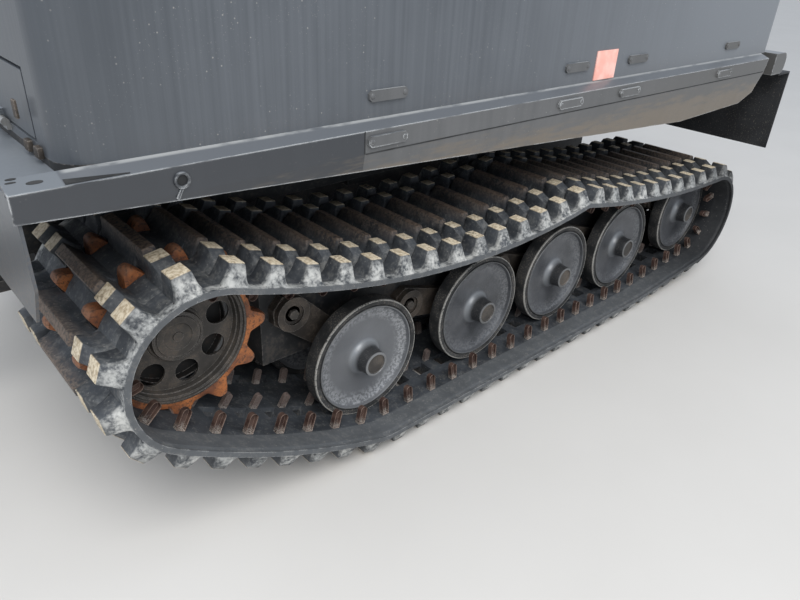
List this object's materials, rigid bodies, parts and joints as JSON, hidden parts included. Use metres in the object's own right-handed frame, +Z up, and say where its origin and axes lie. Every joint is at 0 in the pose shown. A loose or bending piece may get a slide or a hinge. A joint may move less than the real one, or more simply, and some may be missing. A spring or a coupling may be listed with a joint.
{
  "type": "tracked car of an articulated crawler carrier",
  "caption": "Box-bodied car on two rubber-tracked running gears, with a hollow cabin, a hinged rear door, a front locker lid and a swinging steering coupling.",
  "frame": {"origin": "on the ground at the middle of the car's length and width", "axes": "+X forward, +Y to the car's left, +Z up"},
  "size_m": [3.68, 1.894, 2.3998],
  "materials": {
    "body_paint": "satin dark slate paint with light dust",
    "front_paint": "satin dark slate paint",
    "sill_paint": "satin dark slate paint, worn edges, brown dust low down",
    "belt_rubber": "worn black rubber with pale tan lug tops",
    "wheel_paint": "satin dark grey dished steel with a bonded black rubber tyre",
    "sprocket_steel": "grey brown steel",
    "tooth_orange": "orange wearing rubber, dusty",
    "arm_steel": "grey brown cast arms",
    "chassis_paint": "dusty black paint",
    "glass": "clear glass",
    "reflector_red": "faded salmon red reflector",
    "lamp_red": "red lamp lens",
    "flap_rubber": "black rubber sheet",
    "steel": "bare worn steel",
    "seat_cloth": "dark green vinyl-coated cloth"
  },
  "bodies": {
    "car": {"track_belt_left": "belt_rubber", "track_belt_right": "belt_rubber", "sprocket_left": "sprocket_steel", "sprocket_right": "sprocket_steel", "sprocket_teeth_left": "tooth_orange", "sprocket_teeth_right": "tooth_orange", "road_wheels_left": "wheel_paint", "road_wheels_right": "wheel_paint", "support_rollers_left": "arm_steel", "support_rollers_right": "arm_steel", "trailing_arms_left": "arm_steel", "trailing_arms_right": "arm_steel", "track_beam_left": "chassis_paint", "track_beam_right": "chassis_paint", "side_wall_left": "body_paint", "side_wall_right": "body_paint", "sill_left": "sill_paint", "sill_right": "sill_paint", "chassis": "chassis_paint", "drive_axle": "chassis_paint", "coupling_ears": "chassis_paint", "tow_eye": "chassis_paint", "front_wall": "front_paint", "rear_wall": "body_paint", "roof": "body_paint", "lower_tub": "chassis_paint", "upper_floor": "chassis_paint", "side_windows": "glass", "front_window": "glass", "front_ledge": "front_paint", "front_mudguards": "front_paint", "rear_bumpers": "sill_paint", "rear_mud_flaps": "flap_rubber", "strap_loops": "sill_paint", "reflectors": "reflector_red", "rear_lamps": "lamp_red", "rear_door_hinges": "steel", "front_hatch_hinges": "steel", "bench_bases": "chassis_paint", "bench_cushions": "seat_cloth", "bench_backrests": "seat_cloth"},
    "rear_door": {"rear_door": "body_paint", "rear_door_window": "glass", "rear_door_handle": "steel"},
    "front_hatch": {"front_hatch": "front_paint"},
    "coupling_link": {"coupling_link": "chassis_paint"}
  },
  "joints": [
    {"name": "rear_door_hinge", "type": "hinge", "parent": "car", "child": "rear_door", "pos_m": [-1.639, -0.2985, 1.43], "axis": [0, 0, 1], "range_deg": [0, 100]},
    {"name": "front_hatch_hinge", "type": "hinge", "parent": "car", "child": "front_hatch", "pos_m": [1.344, 0, 1.0645], "axis": [0, 1, 0], "range_deg": [0, 95]},
    {"name": "coupling_yaw", "type": "hinge", "parent": "car", "child": "coupling_link", "pos_m": [1.535, 0, 0.52], "axis": [0, 0, 1], "range_deg": [-34, 34]}
  ]
}
